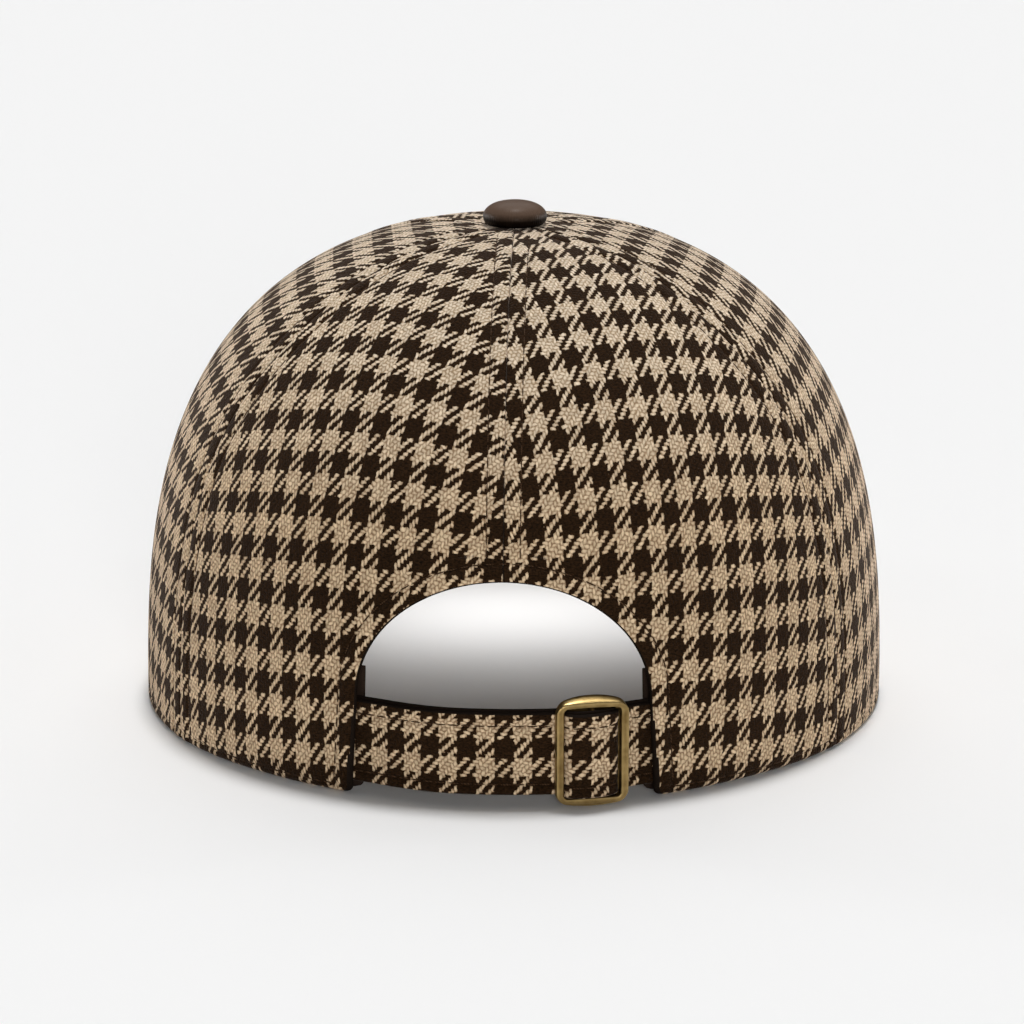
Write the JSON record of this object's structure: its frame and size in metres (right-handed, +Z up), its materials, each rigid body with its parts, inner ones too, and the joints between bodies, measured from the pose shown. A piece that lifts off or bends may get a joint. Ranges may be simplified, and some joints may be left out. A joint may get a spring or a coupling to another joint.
{
  "type": "baseball cap",
  "caption": "Panelled houndstooth cloth baseball cap with a peak, an arched back opening and a strap through a brass slide buckle.",
  "frame": {"origin": "middle of the cap's footprint, buckle to peak tip, on the surface that the rim rests on", "axes": "+Z up through the top button, +Y from the back opening towards the peak, +X towards the wearer's right"},
  "size_m": [0.177, 0.2705, 0.1195],
  "materials": {
    "houndstooth_cloth": "matt woven wool",
    "brown_band": "matt twill tape",
    "brown_leather": "satin",
    "antique_brass": "antiqued, satin"
  },
  "bodies": {
    "root": {"panel_back_left": "houndstooth_cloth", "panel_back_right": "houndstooth_cloth", "panel_side_left": "houndstooth_cloth", "panel_side_right": "houndstooth_cloth", "panel_front_left": "houndstooth_cloth", "panel_front_right": "houndstooth_cloth", "peak": "houndstooth_cloth", "strap": "houndstooth_cloth", "sweatband": "brown_band", "top_button": "brown_leather", "buckle": "antique_brass"}
  },
  "joints": []
}
